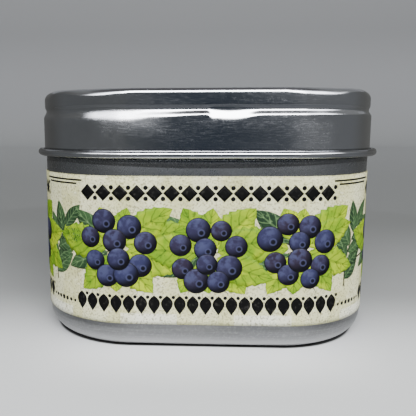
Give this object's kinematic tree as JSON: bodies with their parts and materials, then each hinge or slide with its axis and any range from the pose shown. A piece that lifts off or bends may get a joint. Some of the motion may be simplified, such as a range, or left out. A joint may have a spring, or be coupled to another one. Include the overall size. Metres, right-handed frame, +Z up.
{
  "type": "square metal tin with slip lid",
  "caption": "Low square metal tin with rounded corners, a slip lid with a groove and a rolled bead, and a printed paper label wrapped round the body.",
  "frame": {"origin": "middle of the base, on the plane that the tin stands on", "axes": "+Z up through the lid; the middle of the label faces -Y and the gap between the label's ends faces +Y"},
  "size_m": [0.0632, 0.0632, 0.044],
  "materials": {
    "body_tinplate": "satin tinplate",
    "lid_tinplate": "bright, lightly brushed tinplate",
    "label_paper": "matt printed paper"
  },
  "bodies": {
    "root": {"tin_body": "body_tinplate", "lid": "lid_tinplate", "label": "label_paper"}
  },
  "joints": []
}
